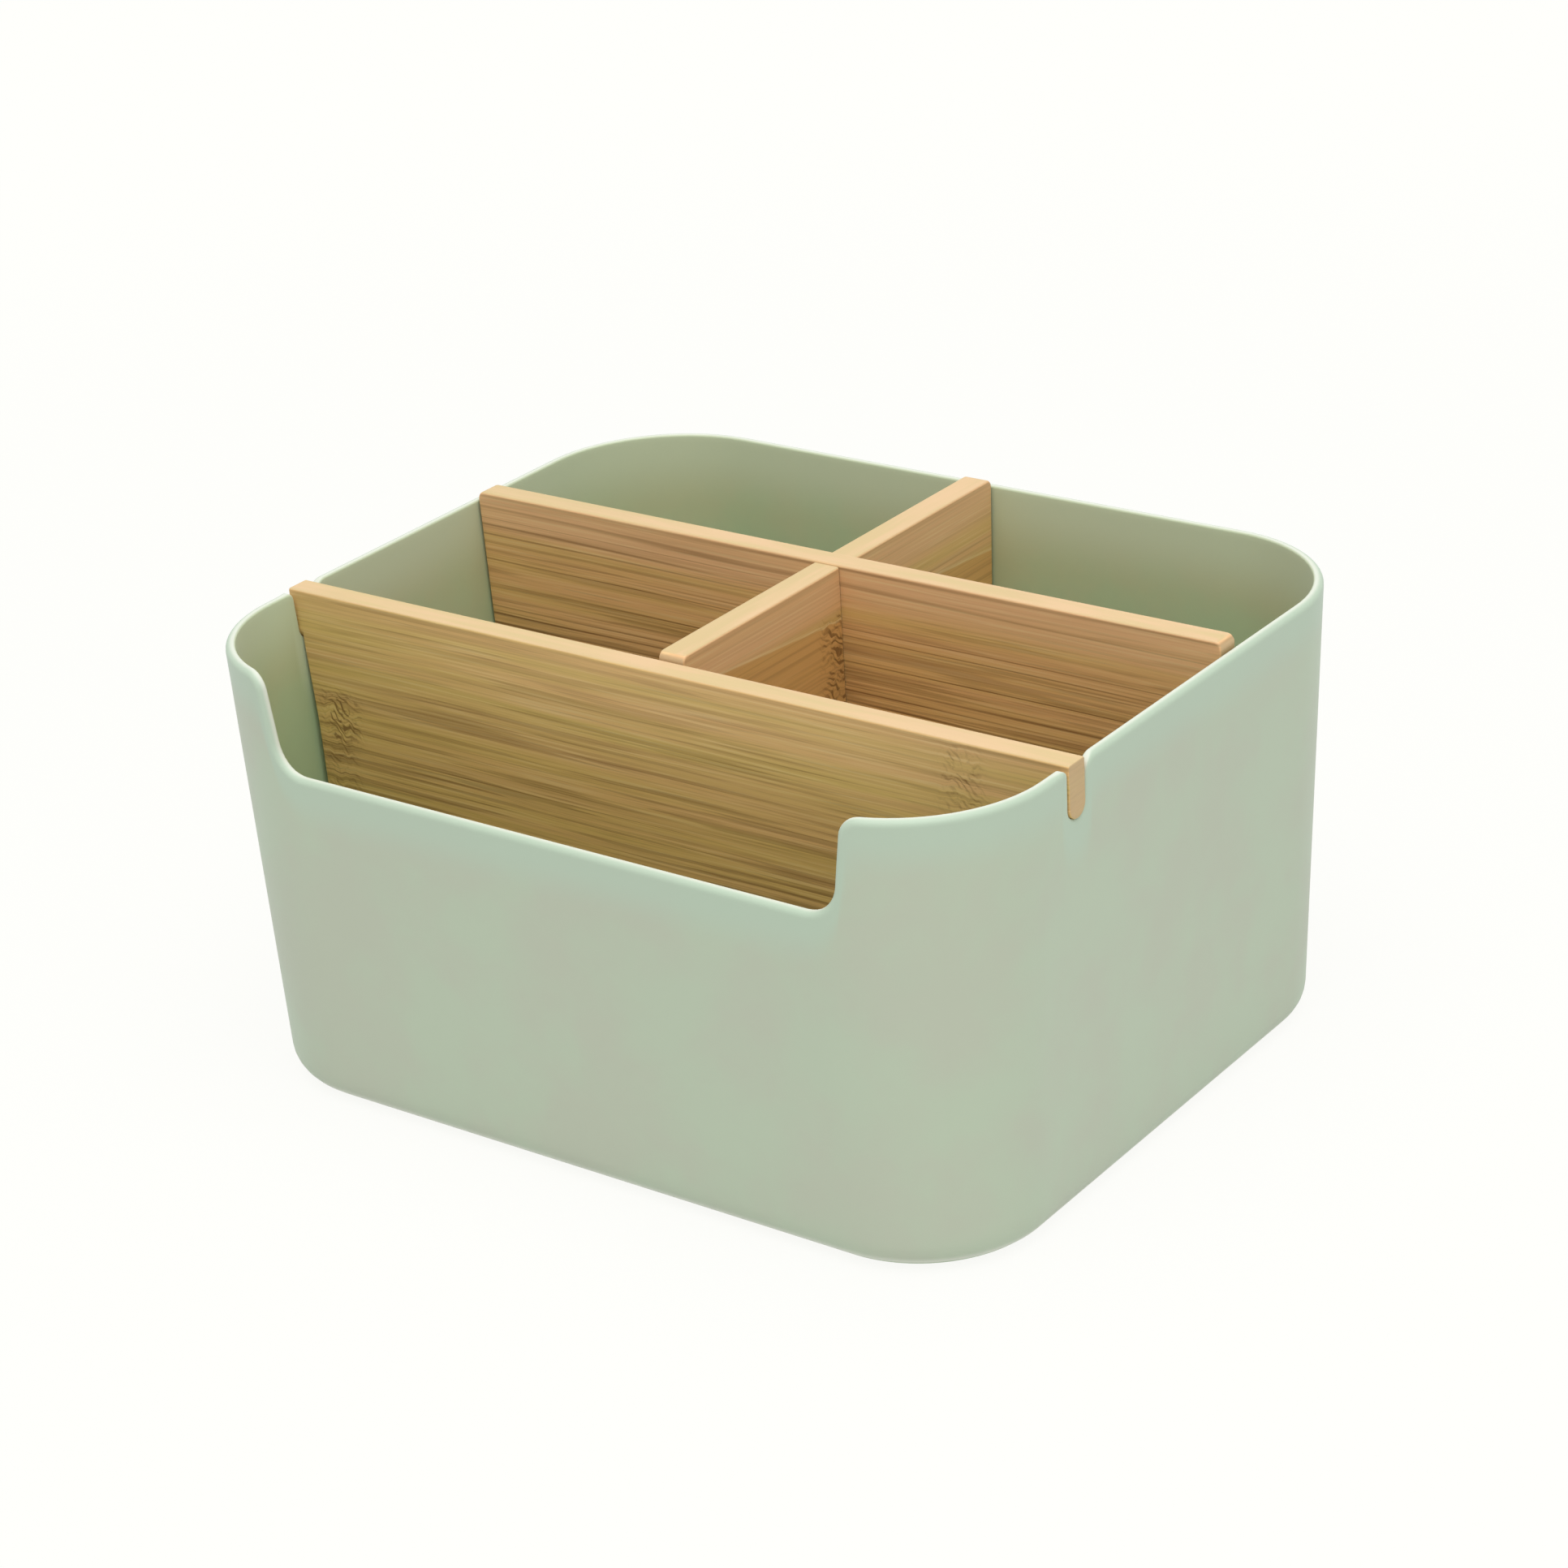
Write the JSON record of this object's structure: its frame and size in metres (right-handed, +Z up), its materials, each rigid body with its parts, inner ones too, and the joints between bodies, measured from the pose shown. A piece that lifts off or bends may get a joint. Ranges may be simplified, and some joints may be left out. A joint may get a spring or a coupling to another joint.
{
  "type": "vanity organizer",
  "caption": "Round-cornered moulded bin with a lowered front edge, divided by lift-out bamboo boards into compartments for vanity or desk items.",
  "frame": {"origin": "centre of the bin's footprint, on the surface that it stands on", "axes": "+X along the front from left to right, +Y from the lowered front edge to the back, +Z up"},
  "size_m": [0.22, 0.182, 0.1141],
  "materials": {
    "sage_plastic": "matte sage green moulding with a fine satin texture",
    "bamboo": "sanded, clear-oiled bamboo with fine straight grain"
  },
  "bodies": {
    "bin": {"bin_shell": "sage_plastic"},
    "front_divider": {"front_divider": "bamboo"},
    "cross_divider": {"cross_divider": "bamboo"},
    "rear_divider": {"rear_divider": "bamboo"}
  },
  "joints": [
    {"name": "front_divider_lift", "type": "slide", "parent": "bin", "child": "front_divider", "axis": [0, 0, 1], "range_m": [0, 0.115]},
    {"name": "cross_divider_lift", "type": "slide", "parent": "bin", "child": "cross_divider", "axis": [0, 0, 1], "range_m": [0, 0.115]},
    {"name": "rear_divider_lift", "type": "slide", "parent": "cross_divider", "child": "rear_divider", "axis": [0, 0, 1], "range_m": [0, 0.115]}
  ]
}
